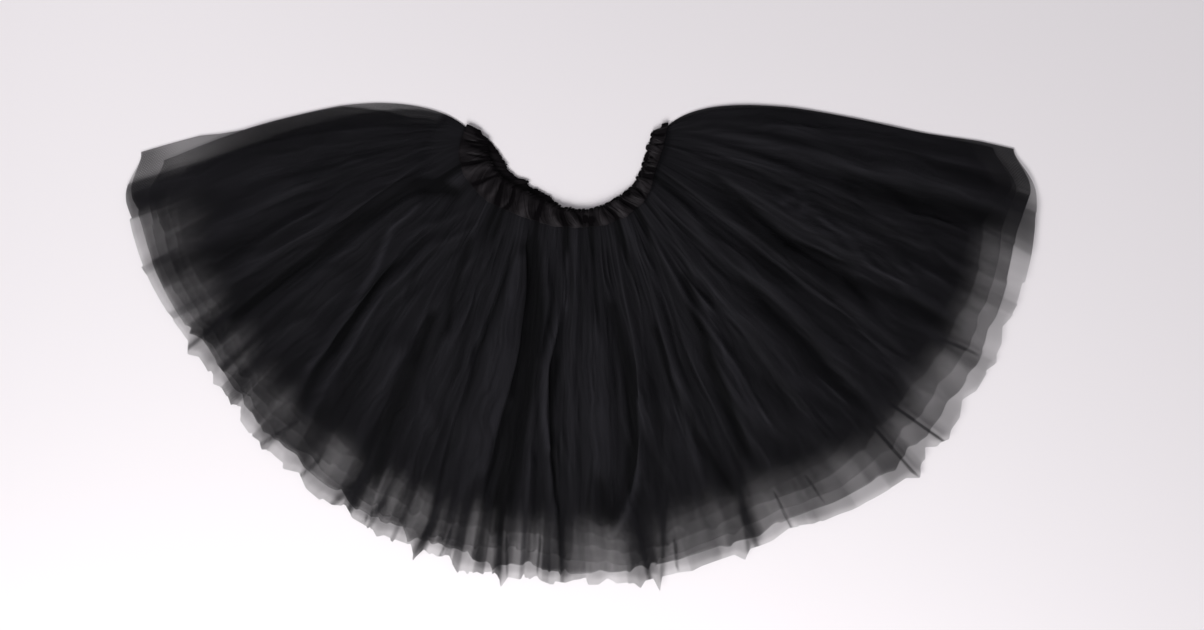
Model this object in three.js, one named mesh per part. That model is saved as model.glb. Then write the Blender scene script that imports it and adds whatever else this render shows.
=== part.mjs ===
// A short black tulle skirt, laid flat and fanned out. Three gathered rings of tulle hang from a satin
// waistband with its elastic inside. Each ring is pressed flat, its front half lying on its back half.
// Millimetres, +Z up. The skirt lies on z = 0, with the waist at the top of the plan and the hem below.
import * as THREE from 'three';

const TULLE_WALL = 1.2;
const SATIN_WALL = 1.8;
const TUCK = 0.18; // share of the band's width that covers the tops of the tulle

// The plan, from the left end of the waist to the right end. `seam` is the band's lower edge, `edge` its
// upper edge, and `open` how much lower the front half's upper edge lies. The cloth leaves the seam
// towards `bend` and ends at `hem`.
const SECTIONS = [
  { seam: [-119.5, 103.5], bend: [-195, 173], hem: [-491, 73], edge: [-94, 96], open: 0 },
  { seam: [-126, 87.5], bend: [-281, 47], hem: [-457, -47], edge: [-87, 80], open: 12 },
  { seam: [-125, 67], bend: [-261, -21], hem: [-397, -143], edge: [-74, 62], open: 14 },
  { seam: [-112, 43], bend: [-225, -86], hem: [-337, -215], edge: [-60, 51], open: 13 },
  { seam: [-90, 24.5], bend: [-170, -141], hem: [-249, -306], edge: [-42, 40], open: 9 },
  { seam: [-62, 13], bend: [-110, -169], hem: [-158, -350], edge: [-23.5, 28], open: 5 },
  { seam: [-32, 3], bend: [-47, -185], hem: [-62, -373], edge: [-9, 22], open: 3 },
  { seam: [0, 0], bend: [3, -189], hem: [7.5, -379], edge: [8, 20.5], open: 2 },
  { seam: [30, 3], bend: [63, -182], hem: [96, -368], edge: [26, 25], open: 2 },
  { seam: [55.5, 15], bend: [135, -157], hem: [215, -329], edge: [43, 34], open: 2 },
  { seam: [74, 33], bend: [211, -115], hem: [349, -265], edge: [57, 46], open: 3 },
  { seam: [85, 67], bend: [260, -32], hem: [434, -157], edge: [69, 69], open: 3 },
  { seam: [92, 89], bend: [274, 53], hem: [477, -43], edge: [75, 91], open: 2 },
  { seam: [95, 105], bend: [157, 166], hem: [491, 78], edge: [80, 106], open: 0 },
];

// The gathers, from left to right. `share` is a fold's width in thousandths of the whole, `height` its
// part of the full fold height, `peak` where across it the crest stands, and `tip` how far the crest
// runs past the hem line.
const FOLDS = [
  { share: 62, height: 0.4, peak: 0.5, tip: 0 },
  { share: 52, height: 0.8, peak: 0.45, tip: 3 },
  { share: 46, height: 1.0, peak: 0.4, tip: 5 },
  { share: 44, height: 0.9, peak: 0.55, tip: 2 },
  { share: 48, height: 1.0, peak: 0.4, tip: 6 },
  { share: 38, height: 0.75, peak: 0.45, tip: 7 },
  { share: 32, height: 0.7, peak: 0.55, tip: 3 },
  { share: 30, height: 0.65, peak: 0.5, tip: 4 },
  { share: 38, height: 0.85, peak: 0.55, tip: 9 },
  { share: 46, height: 1.0, peak: 0.6, tip: 1 },
  { share: 36, height: 0.75, peak: 0.4, tip: 9 },
  { share: 30, height: 0.7, peak: 0.5, tip: 2 },
  { share: 52, height: 1.0, peak: 0.45, tip: 3 },
  { share: 32, height: 0.75, peak: 0.4, tip: 12 },
  { share: 42, height: 0.9, peak: 0.6, tip: 2 },
  { share: 40, height: 0.85, peak: 0.5, tip: 7 },
  { share: 30, height: 0.65, peak: 0.6, tip: 3 },
  { share: 44, height: 1.0, peak: 0.6, tip: 6 },
  { share: 42, height: 0.95, peak: 0.6, tip: 13 },
  { share: 36, height: 0.75, peak: 0.55, tip: 8 },
  { share: 42, height: 0.95, peak: 0.5, tip: 2 },
  { share: 44, height: 0.85, peak: 0.55, tip: 5 },
  { share: 44, height: 0.7, peak: 0.5, tip: 2 },
  { share: 50, height: 0.4, peak: 0.5, tip: 0 },
];
const SHOULDER = { across: 0.15, height: 0.93 }; // beside a front crest, to round it

// Heights down the cloth, from the seam (s = 0) to the hem (s = 1). `rest` is the middle of the lowest
// wall, `pitch` the step from one wall to the next, `hollow` the step between the two halves, and
// `back` and `front` are the fold heights of the two halves.
const LEVELS = [
  { s: 0.0, rest: 2.8, pitch: 1.8, hollow: 1.8, back: 0.6, front: 2.4 },
  { s: 0.07, rest: 0.6, pitch: 2.2, hollow: 1.9, back: 1.4, front: 6.0 },
  { s: 0.2, rest: 0.6, pitch: 2.4, hollow: 2.2, back: 2.4, front: 10.0 },
  { s: 0.4, rest: 0.6, pitch: 2.2, hollow: 2.4, back: 3.2, front: 12.0 },
  { s: 0.6, rest: 0.6, pitch: 2.0, hollow: 2.4, back: 3.2, front: 12.0 },
  { s: 0.8, rest: 0.6, pitch: 1.9, hollow: 2.2, back: 3.0, front: 10.5 },
  { s: 1.0, rest: 0.6, pitch: 1.8, hollow: 1.8, back: 2.5, front: 8.5 },
];

// The rings of tulle, from outside in. `short` is how much shorter one hangs than the outer ring, and
// `fold` the share of the front fold height that it keeps.
const LAYERS = [
  { name: 'tulle_outer', short: 0, fold: 1.0 },
  { name: 'tulle_middle', short: 19, fold: 0.85 },
  { name: 'tulle_inner', short: 37, fold: 0.7 },
];
const BACK_SHORT = 7; // the back half of a hem lies this much higher than its front half

// At the side edges: how far one ring lies inside the next, how far it turns in from the edge, and how
// far the outer ring lies inside the band.
const SIDE_STEP = { seam: 1.9, hem: 11 };
const SIDE_TURN = { seam: 1.6, hem: 5 };
const BAND_STEP = 2.4;

// Heights across the band, from the seam (v = 0) to the upper edge (v = 1): the middle of each half's
// wall, and the height of its puckers.
const BAND_LEVELS = [
  { v: 0.0, back: 0.9, front: 13.9, pucker: 2.4 },
  { v: 0.25, back: 0.9, front: 13.7, pucker: 2.4 },
  { v: 0.7, back: 0.9, front: 10.0, pucker: 2.6 },
  { v: 1.0, back: 0.9, front: 5.6, pucker: 3.2 },
];
const BACK_PUCKER = 0.2; // share of the pucker height that the back half keeps
const HEADING = 2.4; // how far the puckers stand out past the band's upper edge

const mix = THREE.MathUtils.lerp;

function curveOf(name) {
  const points = SECTIONS.map((row) => new THREE.Vector3(row[name][0], row[name][1], 0));
  return new THREE.CatmullRomCurve3(points, false, 'catmullrom', 0.5);
}
const SEAM = curveOf('seam');
const BEND = curveOf('bend');
const HEM = curveOf('hem');
const EDGE = curveOf('edge');

function flat(curve, u) {
  const point = curve.getPoint(THREE.MathUtils.clamp(u, 0, 1));
  return new THREE.Vector2(point.x, point.y);
}

// A column of a table at `place`, straight between rows. `key` names the column that holds the places.
function lookUp(table, key, name, place) {
  const last = table.length - 1;
  if (place <= table[0][key]) return table[0][name];
  if (place >= table[last][key]) return table[last][name];
  const i = table.findIndex((row) => row[key] > place);
  const part = (place - table[i - 1][key]) / (table[i][key] - table[i - 1][key]);
  return mix(table[i - 1][name], table[i][name], part);
}
const OPENING = SECTIONS.map((row, i) => ({ u: i / (SECTIONS.length - 1), open: row.open }));

// The plan of the band at place u along the waist and v across the band.
function bandPlan(u, v, isBack) {
  const seam = flat(SEAM, u);
  const edge = flat(EDGE, u);
  const open = isBack ? 0 : lookUp(OPENING, 'u', 'open', u);
  const width = seam.distanceTo(edge);
  return seam.lerp(edge, v * (1 - open / width));
}

// The plan of the cloth at place u along the waist and s down its length. Above the seam it follows
// the band's back half.
function clothPlan(u, s) {
  if (s < 0) return bandPlan(u, -s, true);
  const curve = new THREE.QuadraticBezierCurve(flat(SEAM, u), flat(BEND, u), flat(HEM, u));
  return curve.getPoint(s);
}

// The columns of one half's folds: where each lies along the waist, how high it stands from 0 to 1,
// and how far it runs past the hem. A front fold is a rounded crest; a back fold is a flat stretch
// that rests on the ground, then a low crest.
function foldColumns(isBack) {
  const columns = [{ u: 0, wave: 0, tip: 0 }];
  const total = FOLDS.reduce((sum, fold) => sum + fold.share, 0);
  let start = 0;
  for (const fold of FOLDS) {
    const width = fold.share / total;
    const crest = start + fold.peak * width;
    const side = SHOULDER.across * width;
    if (isBack) {
      columns.push({ u: start + 0.3 * width, wave: 0, tip: 0 });
      columns.push({ u: start + 0.55 * width, wave: fold.height, tip: 0 });
      columns.push({ u: start + 0.8 * width, wave: 0, tip: 0 });
    } else {
      columns.push({ u: crest - side, wave: SHOULDER.height * fold.height, tip: 0.4 * fold.tip });
      columns.push({ u: crest + side, wave: fold.height, tip: fold.tip });
      columns.push({ u: start + width, wave: 0, tip: 0 });
    }
    start += width;
  }
  if (isBack) columns.push({ u: 1, wave: 0, tip: 0 });
  return columns;
}
const FRONT_COLUMNS = foldColumns(false);
const BACK_COLUMNS = foldColumns(true);
const SHARES = FOLDS.reduce((sum, fold) => sum + fold.share, 0);
const FIRST = FOLDS[0].share / SHARES;
const LAST = FOLDS[FOLDS.length - 1].share / SHARES;

// Moves a place in the first or last fold in from the side edge, by `left` or `right`.
function drawnIn(u, left, right) {
  if (u < FIRST) return mix(left, FIRST, u / FIRST);
  if (u > 1 - LAST) return mix(1 - right, 1 - LAST, (1 - u) / LAST);
  return u;
}

// One closed ring of points: the front half from left to right, the turn at the right edge, the back
// half from right to left, and the turn at the left edge. `pointAt` places a column of either half.
function ringOf(planAt, inset, turn, pointAt) {
  const nearEnd = 0.01;
  const leftPace = planAt(0).distanceTo(planAt(nearEnd)) / nearEnd;
  const rightPace = planAt(1).distanceTo(planAt(1 - nearEnd)) / nearEnd;
  const half = (columns, isBack) => columns.map((column) => {
    const u = drawnIn(column.u, (inset + turn) / leftPace, (inset + turn) / rightPace);
    return pointAt({ ...column, u }, isBack);
  });
  const front = half(FRONT_COLUMNS, false);
  const back = half(BACK_COLUMNS, true).reverse();
  const turnPoint = (u, upper, lower, part) => {
    const point = pointAt({ u, wave: 0, tip: 0 }, part < 0.5);
    return { ...point, z: mix(lower.z, upper.z, part) };
  };
  const right = [0.75, 0.25].map((part) => turnPoint(1 - inset / rightPace, front[front.length - 1], back[0], part));
  const left = [0.25, 0.75].map((part) => turnPoint(inset / leftPace, front[0], back[back.length - 1], part));
  return [...front, ...right, ...back, ...left];
}

function tangentAt(planAt, u) {
  const step = 0.004;
  return planAt(Math.min(u + step, 1)).sub(planAt(Math.max(u - step, 0))).normalize();
}

// The ring moved out by `distance`, or in where it is negative, square to the cloth.
function offsetRing(ring, distance) {
  const count = ring.length;
  const normals = ring.map((point, i) => {
    const next = ring[(i + 1) % count];
    const side = point.along.clone().add(next.along).normalize();
    const run = next.at.clone().sub(point.at).dot(side);
    return new THREE.Vector2(-(next.z - point.z), run).normalize();
  });
  return ring.map((point, i) => {
    const before = normals[(i + count - 1) % count];
    const after = normals[i];
    const mitre = before.clone().add(after).normalize();
    mitre.multiplyScalar(distance / Math.max(mitre.dot(after), 0.6));
    const at = point.at.clone().add(point.along.clone().multiplyScalar(mitre.x));
    return new THREE.Vector3(at.x, at.y, point.z + mitre.y);
  });
}

// A closed tube of cloth from a list of rings, each moved out and in by half the wall.
function tube(name, rings, wall) {
  const rows = rings.length;
  const count = rings[0].length;
  const outer = rings.map((ring) => offsetRing(ring, wall / 2));
  const inner = rings.map((ring) => offsetRing(ring, -wall / 2));
  const positions = [...outer, ...inner].flat().flatMap((point) => [point.x, point.y, point.z]);
  const out = (row, i) => row * count + (i % count);
  const into = (row, i) => (rows + row) * count + (i % count);
  const faces = [];
  const quad = (a, b, c, d) => faces.push(a, b, c, a, c, d);
  for (let i = 0; i < count; i++) {
    for (let row = 0; row + 1 < rows; row++) {
      quad(out(row, i), out(row + 1, i), out(row + 1, i + 1), out(row, i + 1));
      quad(into(row, i), into(row, i + 1), into(row + 1, i + 1), into(row + 1, i));
    }
    quad(out(0, i), out(0, i + 1), into(0, i + 1), into(0, i));
    quad(out(rows - 1, i), into(rows - 1, i), into(rows - 1, i + 1), out(rows - 1, i + 1));
  }
  const geometry = new THREE.BufferGeometry();
  geometry.setAttribute('position', new THREE.Float32BufferAttribute(positions, 3));
  geometry.setIndex(faces);
  const mesh = new THREE.Mesh(geometry);
  mesh.name = name;
  return mesh;
}

// The height of a tulle wall's middle. Layers count from outside in.
function tulleHeight(layer, s, wave, isBack) {
  const level = (name) => lookUp(LEVELS, 's', name, s);
  if (isBack) return level('rest') + layer * level('pitch') + level('back') * wave;
  const lowestFront = level('rest') + 2 * level('pitch') + level('hollow');
  return lowestFront + (2 - layer) * level('pitch') + level('front') * LAYERS[layer].fold * wave;
}

function tulleRing(layer, s, isHem) {
  const bandInset = BAND_STEP * (1 - THREE.MathUtils.clamp(s / LEVELS[1].s, 0, 1));
  const place = Math.max(s, 0);
  const inset = bandInset + layer * mix(SIDE_STEP.seam, SIDE_STEP.hem, place);
  const turn = mix(SIDE_TURN.seam, SIDE_TURN.hem, place);
  const planAt = (u) => clothPlan(u, s);
  return ringOf(planAt, inset, turn, (column, isBack) => {
    const reach = flat(SEAM, column.u).distanceTo(flat(HEM, column.u));
    const cut = LAYERS[layer].short + (isBack ? BACK_SHORT : 0) - column.tip;
    const end = isHem ? s - cut / reach : s;
    return {
      at: clothPlan(column.u, end),
      along: tangentAt(planAt, column.u),
      z: tulleHeight(layer, end, column.wave, isBack),
    };
  });
}

function bandRing(level) {
  const planAt = (u) => bandPlan(u, level.v, true);
  const heading = level.v === 1 ? HEADING : 0;
  return ringOf(planAt, 0, SIDE_TURN.seam, (column, isBack) => {
    const width = flat(SEAM, column.u).distanceTo(flat(EDGE, column.u));
    const pucker = level.pucker * (isBack ? BACK_PUCKER : 1);
    return {
      at: bandPlan(column.u, level.v + heading * column.wave / width, isBack),
      along: tangentAt(planAt, column.u),
      z: (isBack ? level.back : level.front) + pucker * column.wave,
    };
  });
}

const group = new THREE.Group();
group.add(tube('waistband', BAND_LEVELS.map(bandRing).reverse(), SATIN_WALL));
LAYERS.forEach((layer, index) => {
  const rings = [tulleRing(index, -TUCK, false)];
  for (const level of LEVELS) rings.push(tulleRing(index, level.s, level.s === 1));
  group.add(tube(layer.name, rings, TULLE_WALL));
});

// The origin is the middle of the underside.
const box = new THREE.Box3().setFromObject(group);
const centre = box.getCenter(new THREE.Vector3());
for (const mesh of group.children) mesh.geometry.translate(-centre.x, -centre.y, -box.min.z);

export default group;
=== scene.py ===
"""A short black tulle skirt, laid flat and seen from straight above.

Three gathered rings of net hang from a gathered satin waistband. Each ring is one closed tube of net, its
front half lying on its back half, so six sheets of net lie on each other. Lengths are millimetres until a
mesh is made. Plan coordinates have their origin in the middle of the band's seam; ROW_ORIGIN moves them
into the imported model's frame.
"""

import bpy
import numpy as np
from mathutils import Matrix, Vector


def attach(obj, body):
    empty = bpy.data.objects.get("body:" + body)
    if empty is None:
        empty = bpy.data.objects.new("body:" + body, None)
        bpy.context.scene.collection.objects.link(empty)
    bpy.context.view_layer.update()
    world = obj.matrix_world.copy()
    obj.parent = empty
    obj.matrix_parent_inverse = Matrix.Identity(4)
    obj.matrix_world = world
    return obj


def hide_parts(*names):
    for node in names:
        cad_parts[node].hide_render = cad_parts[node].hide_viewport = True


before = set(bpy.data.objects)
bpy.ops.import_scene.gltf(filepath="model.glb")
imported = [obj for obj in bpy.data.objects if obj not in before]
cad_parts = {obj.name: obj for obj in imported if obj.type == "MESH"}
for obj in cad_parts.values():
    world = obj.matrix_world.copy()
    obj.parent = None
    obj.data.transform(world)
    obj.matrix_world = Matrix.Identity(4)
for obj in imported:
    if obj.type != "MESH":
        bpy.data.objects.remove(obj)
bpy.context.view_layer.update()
scene = bpy.context.scene

MM = 0.001
MILLI = 0.001  # a thousandth of the waist
ROW_ORIGIN = np.array([0.05, 128.2])  # where the plan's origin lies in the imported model's frame

SEEDS = {"folds": 310, "strips": 540, "bunches": 740, "hems": 90, "band": 7}

# -------------------- the plan

# From the left end of the waist to the right end: seam x y, bend x y, hem x y, band's upper edge x y, and
# how much lower the front half's upper edge lies.
SECTIONS = np.array([
    [-119.5, 107.5, -196, 173, -491, 73, -94, 96, 0],
    [-126, 87.5, -281, 47, -457, -47, -83, 79, 12],
    [-125, 67, -261, -21, -397, -143, -74, 62, 14],
    [-112, 43, -225, -86, -343, -222, -60, 51, 13],
    [-90, 24.5, -170, -141, -249, -306, -42, 40, 9],
    [-62, 13, -110, -169, -158, -350, -23.5, 28, 5],
    [-32, 3, -47, -185, -62, -373, -9, 22, 3],
    [0, 0, 3, -189, 7.5, -379, 8, 20.5, 2],
    [30, 3, 63, -182, 96, -368, 26, 25, 2],
    [55.5, 15, 135, -157, 215, -329, 43, 34, 2],
    [74, 33, 211, -115, 349, -265, 57, 46, 3],
    [85, 67, 260, -32, 434, -157, 69, 69, 3],
    [92, 89, 274, 53, 477, -43, 75, 91, 2],
    [96, 109, 157, 167, 491, 78, 80, 106, 0],
])
NET_WIDTH, NET_LENGTH = 1480.0, 385.0  # the size of the net's pattern on one half of a ring, in mm
STEP = 0.002  # the step along the waist over which directions and widths are measured


def section(u):
    """The plan's values at place u along the waist, as a smooth curve through the sections."""
    rows = np.vstack([2 * SECTIONS[0] - SECTIONS[1], SECTIONS, 2 * SECTIONS[-1] - SECTIONS[-2]])
    place = np.clip(np.asarray(u, float), 0, 1) * (len(SECTIONS) - 1)
    i = np.minimum(place.astype(int), len(SECTIONS) - 2)
    f = (place - i)[..., None]
    p0, p1, p2, p3 = rows[i], rows[i + 1], rows[i + 2], rows[i + 3]
    v0, v1 = (p2 - p0) / 2, (p3 - p1) / 2
    return p1 + f * (v0 + f * (3 * (p2 - p1) - 2 * v0 - v1 + f * (2 * (p1 - p2) + v0 + v1)))


def cloth_plan(u, s):
    """The plan point of the cloth at u along the waist and s from the seam (0) to the hem (1)."""
    row = section(u)
    seam, bend, hem = row[..., 0:2], row[..., 2:4], row[..., 4:6]
    s = np.asarray(s, float)[..., None]
    return (1 - s) ** 2 * seam + 2 * s * (1 - s) * bend + s * s * hem


def pace(u, s):
    """The plan vector by which the cloth moves for a unit step of u."""
    low, high = np.clip(u - STEP, 0, 1), np.clip(u + STEP, 0, 1)
    return (cloth_plan(high, s) - cloth_plan(low, s)) / (high - low)[..., None]


def stride(u, s):
    """How many mm of plan a unit step of u is."""
    return np.linalg.norm(pace(u, s), axis=-1)


def smoothstep(x, low=0.0, high=1.0):
    """0 below low, 1 above high, and a smooth curve between them."""
    t = np.clip((x - low) / (high - low), 0, 1)
    return t * t * (3 - 2 * t)


def soft_max(a, b, k):
    """The larger of two fields, rounded over a height of about k where they cross."""
    h = np.clip(0.5 + 0.5 * (a - b) / k, 0, 1)
    return b * (1 - h) + a * h + k * h * (1 - h)


# -------------------- the field grid

NU, NS = 2401, 110  # places along the waist and down the cloth
S_LOW, S_HIGH = -0.03, 1.06  # the grid starts above the seam and ends past the hem
U_LINE = np.linspace(0, 1, NU)
S_LINE = np.linspace(S_LOW, S_HIGH, NS)
U_GRID, S_GRID = np.meshgrid(U_LINE, S_LINE)
WIDTH_GRID = stride(U_GRID, S_GRID)
FROM_LEFT = U_GRID * WIDTH_GRID  # mm from the left side edge
FROM_RIGHT = (1 - U_GRID) * WIDTH_GRID
DRIFTS = 8  # the cells along the waist over which streaks wander to either side


def sample(field, u, s):
    """A grid field at any places u and s."""
    x = np.clip(u, 0, 1) * (NU - 1)
    y = (np.clip(s, S_LOW, S_HIGH) - S_LOW) / (S_HIGH - S_LOW) * (NS - 1)
    i, j = np.minimum(x.astype(int), NU - 2), np.minimum(y.astype(int), NS - 2)
    f, g = x - i, y - j
    top = field[j, i] * (1 - f) + field[j, i + 1] * f
    low = field[j + 1, i] * (1 - f) + field[j + 1, i + 1] * f
    return top * (1 - g) + low * g


def streaks(rng, across, down, wander=0.0):
    """Smooth random values from 0 to 1, in `across` cells along the waist and `down` cells down the cloth.

    They wander to either side by up to half of `wander`, a share of the waist.
    """
    lattice = rng.random((down + 4, across + 4))
    drift = rng.random((down + 4, DRIFTS + 1)) - 0.5
    s = (S_LINE - S_LOW) / (S_HIGH - S_LOW) * down
    j = np.minimum(s.astype(int), down - 1)
    f = smoothstep(s - j)[:, None]
    rows = lattice[j] * (1 - f) + lattice[j + 1] * f
    drifts = drift[j] * (1 - f) + drift[j + 1] * f
    out = np.empty((NS, NU))
    for k in range(NS):
        shift = np.interp(U_LINE * DRIFTS, np.arange(DRIFTS + 1), drifts[k]) * wander
        x = np.clip(U_LINE * across + shift * across, 0, across + 1.999)
        i = x.astype(int)
        g = smoothstep(x - i)
        out[k] = rows[k][i] * (1 - g) + rows[k][i + 1] * g
    return out


def smoothed(field, half):
    """A field averaged along the waist over `half` cells to each side."""
    padded = np.pad(field, ((0, 0), (half + 1, half)), mode="edge")
    total = np.cumsum(padded, axis=1)
    return (total[:, 2 * half + 1:] - total[:, :-2 * half - 1]) / (2 * half + 1)


def ridged(field):
    """Sharp wandering crests out of a field of smooth random values."""
    return 1 - np.abs(2 * field - 1)


# -------------------- the band's gathers

# The band's puffs and creases, listed: place at the upper edge, in the middle of the band and at the
# seam, and half-width, in thousandths of the waist, then size from 0 to 1, and where it starts and ends
# across the band, from the seam (0) to the upper edge (1).
PUFFS = [
    [20, 30, 30, 18, 0.35, 0, 0.55],
    [75, 90, 100, 18, 0.55, 0, 0.48],
    [100, 118, 128, 12, 0.45, 0.35, 0.7],
    [125, 152, 185, 15, 0.95, -0.1, 0.75],
    [135, 200, 262, 9, 0.75, 0, 0.85],
    [165, 238, 290, 9, 0.85, -0.1, 0.85],
    [190, 290, 326, 6, 0.5, 0.1, 0.95],
    [275, 345, 388, 14, 0.8, -0.1, 1],
    [350, 440, 480, 15, 1, -0.1, 1],
    [440, 512, 532, 10, 0.8, -0.1, 1],
    [555, 560, 560, 12, 0.5, 0.65, 1],
    [590, 607, 612, 14, 0.65, 0, 1],
    [665, 675, 676, 15, 1, -0.1, 1],
    [715, 735, 745, 15, 0.8, 0, 0.72],
    [795, 788, 788, 12, 0.8, 0, 0.75],
    [880, 895, 885, 24, 0.6, 0.1, 0.8],
    [950, 940, 935, 22, 0.55, 0.1, 0.8],
]
CREASES = [
    [80, 75, 70, 14, 0.7, 0.55, 1],
    [85, 125, 155, 7, 1, -0.1, 0.8],
    [150, 200, 222, 6, 0.95, 0.05, 0.8],
    [150, 250, 318, 8, 1, -0.1, 0.95],
    [200, 297, 338, 6, 0.9, -0.2, 0.95],
    [335, 392, 430, 7, 1, -0.3, 1],
    [425, 478, 508, 7, 0.9, -0.3, 1],
    [480, 535, 545, 6, 0.5, 0.2, 1],
    [545, 553, 560, 9, 1, 0.3, 0.66],
    [566, 572, 566, 11, 1, 0.24, 0.52],
    [560, 568, 574, 6, 0.8, -0.2, 0.42],
    [10, 12, 10, 10, 0.6, 0.4, 1],
    [28, 40, 50, 9, 0.75, 0.5, 1],
    [52, 64, 70, 7, 0.65, 0.3, 0.85],
    [115, 108, 105, 8, 0.8, 0.5, 1],
    [30, 45, 50, 5, 0.5, 0.1, 0.6],
    [100, 105, 105, 5, 0.5, 0.2, 0.66],
    [915, 918, 925, 5, 0.55, 0, 0.55],
    [965, 960, 962, 8, 0.6, 0.1, 1],
    [615, 645, 652, 6, 0.95, -0.2, 1],
    [680, 702, 718, 6, 1, -0.2, 0.85],
    [730, 735, 740, 10, 0.8, 0.65, 1],
    [765, 769, 760, 4, 0.7, 0, 0.85],
    [810, 813, 818, 5, 1, -0.4, 1],
    [838, 833, 833, 5, 0.9, 0, 1],
    [854, 850, 848, 3, 0.8, 0.55, 1],
    [880, 868, 862, 4, 0.8, 0.5, 1],
    [905, 890, 885, 4, 0.6, 0.65, 1],
]
PUFF_FADE = 0.14  # how softly they start and end, across the band


def traced(rows, u, v):
    """The height of a table's puffs or creases, from 0 to 1, at u along the waist and v across the band."""
    field = np.zeros(np.broadcast_shapes(u.shape, v.shape))
    for upper, middle, seam, half, size, start, end in rows:
        place = seam * (1 - v) * (1 - 2 * v) + 4 * middle * v * (1 - v) + upper * v * (2 * v - 1)
        started = smoothstep(v, start - PUFF_FADE, start + PUFF_FADE)
        ended = smoothstep(v, end - PUFF_FADE, end + PUFF_FADE)
        across = np.exp(-((u / MILLI - place) / half) ** 2)
        field = np.maximum(field, size * across * (started * (1 - ended)))
    return field


# -------------------- the folds

STATIONS = np.array([0, 0.2, 0.4, 0.6, 0.8, 1.0])
# The main folds of the front, listed: place at each station, from the seam to the hem, and half-width,
# in thousandths of the waist, then height in mm (a trough's is negative), skew (which side is steep, -1 to
# 1), lean (mm of sideways shift for each mm of height), and the start and end down the cloth.
FRONT_FOLDS = [
    [15, 17, 22, 25, 22, 21, 16, 4, 0, 0, 0, 1.1],
    [38, 46, 56, 58, 54, 54, 26, 5, 0.2, 0, 0, 1.1],
    [62, 87, 99, 99, 97, 96, 26, 8, 0.5, 0.9, 0, 1.1],
    [79, 112, 129, 134, 137, 138, 10, -9, -0.4, 0.9, 0, 1.1],
    [129, 134, 144, 149, 154, 154, 13, -6, 0, 0, 0, 0.6],
    [179, 161, 161, 167, 171, 171, 20, 7, -0.3, 0, 0, 1.1],
    [269, 202, 205, 213, 227, 238, 11, 5.5, 0.4, 0.9, 0, 0.95],
    [285, 227, 221, 229, 237, 242, 11, -5, -0.3, 0.6, 0.1, 0.9],
    [319, 242, 226, 238, 246, 250, 11, 7, 0.3, 0.4, 0, 1.1],
    [344, 272, 256, 260, 268, 269, 9, -6, 0, 0, 0, 1],
    [362, 303, 284, 281, 285, 287, 13, 7, 0.3, 0.4, 0, 1.1],
    [375, 344, 312, 305, 308, 310, 11, -8, -0.3, 0.6, 0, 1.1],
    [385, 371, 355, 349, 350, 348, 16, 8, 0.4, 0.6, 0, 1.1],
    [392, 387, 381, 377, 378, 377, 9, -7, -0.3, 0, 0, 1.1],
    [396, 413, 412, 403, 402, 402, 17, 9, 0.5, 1, 0, 1.1],
    [419, 436, 435, 435, 439, 440, 13, -12, -0.3, 1, 0, 1.1],
    [448, 474, 455, 460, 462, 463, 11, 6, 0, 0, 0, 1.1],
    [502, 498, 467, 483, 496, 498, 12, 7, 0.4, 0.7, 0.05, 1.1],
    [513, 508, 485, 495, 509, 512, 12, -6.5, -0.3, 0.6, 0.1, 1.1],
    [540, 531, 522, 527, 528, 529, 12, 6, 0, 0, 0, 1.1],
    [579, 572, 567, 563, 555, 552, 34, 7, 0, 0, 0, 1.1],
    [610, 608, 615, 612, 581, 562, 12, -6, 0.3, -0.6, 0.05, 1.1],
    [642, 638, 637, 625, 591, 579, 13, 8, -0.5, -1, 0, 1.1],
    [669, 664, 659, 642, 622, 610, 9, -7, 0.2, 0, 0, 1.1],
    [694, 684, 674, 667, 655, 648, 13, 5, -0.3, -0.4, 0, 1.1],
    [715, 695, 680, 682, 682, 671, 9, -6.5, 0.4, -0.9, 0, 1.1],
    [740, 721, 715, 715, 712, 706, 16, 5, -0.3, -0.4, 0, 1.1],
    [760, 742, 742, 739, 736, 731, 12, -3.2, 0, 0, 0.1, 1],
    [775, 763, 761, 758, 754, 748, 15, 5.8, -0.4, -0.8, 0, 1.1],
    [787, 779, 787, 780, 777, 775, 13, -3.8, 0.3, -0.7, 0, 1],
    [810, 804, 803, 798, 792, 788, 13, 5, 0, 0, 0, 1.1],
    [827, 822, 819, 818, 811, 800, 8, -5, 0.3, -0.7, 0.1, 1.1],
    [846, 843, 841, 840, 835, 823, 13, 5.8, -0.3, -0.7, 0, 1.1],
    [900, 870, 851, 849, 855, 854, 13, -5.2, 0.3, -0.7, 0, 1.1],
    [927, 895, 883, 878, 875, 873, 15, 5.8, -0.3, -0.6, 0, 1.1],
    [948, 920, 905, 900, 896, 892, 9, -4.3, 0, 0, 0.1, 1],
    [962, 941, 928, 925, 921, 921, 14, 4.3, 0, 0, 0, 1.1],
    [971, 951, 938, 940, 944, 946, 13, -5, 0, 0, 0.1, 1.1],
    [979, 970, 959, 958, 962, 965, 12, 4.3, 0, 0, 0, 1.1],
    [985, 983, 979, 979, 983, 987, 9, 2.9, 0, 0, 0, 1.1],
]
# The pointed ends that the creases leave on the hem: place and half-width in thousandths of the waist, and
# length in mm.
TIPS = [
    [140, 7, 8], [172, 6, 5], [205, 8, -9], [240, 5, 6], [268, 9, -8], [305, 9, -6],
    [337, 5, 5], [372, 6, 15], [398, 8, -7], [418, 5, 5], [445, 5, 12], [478, 10, -5],
    [515, 12, 2], [562, 9, -6], [592, 5, 7], [607, 3.5, 15], [632, 9, 2], [668, 5, 9],
    [700, 12, -6], [735, 8, 2], [775, 6, 9], [790, 5, -9], [803, 5, 5], [826, 9, -8],
    [856, 6, 5], [880, 10, -6],
]

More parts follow.
